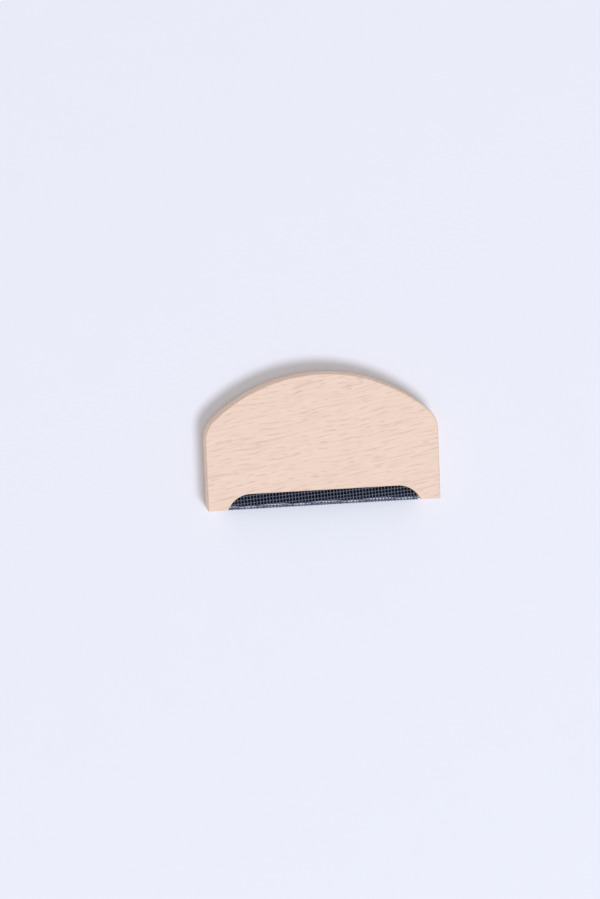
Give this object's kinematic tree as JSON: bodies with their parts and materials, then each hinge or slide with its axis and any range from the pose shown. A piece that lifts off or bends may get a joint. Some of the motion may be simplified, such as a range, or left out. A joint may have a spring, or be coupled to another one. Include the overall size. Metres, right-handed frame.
{
  "type": "sweater comb",
  "caption": "Domed hardwood hand comb with a folded strip of dark woven wire cloth along its straight edge, for lifting pills from knitwear.",
  "frame": {"origin": "on the flat back face, under the middle of the comb's width and of its height, nose of the cloth included", "axes": "+X along the wire edge, +Y from the wire edge towards the top of the dome, +Z out of the front face"},
  "size_m": [0.085, 0.0486, 0.01],
  "materials": {
    "beech": "sanded smooth and unvarnished",
    "core": "matte black",
    "coated_wire": "dark blue-grey coating with a soft sheen"
  },
  "bodies": {
    "root": {"beech_body": "beech", "core_strip": "core", "long_wires": "coated_wire", "odd_cross_wires": "coated_wire", "even_cross_wires": "coated_wire"}
  },
  "joints": []
}
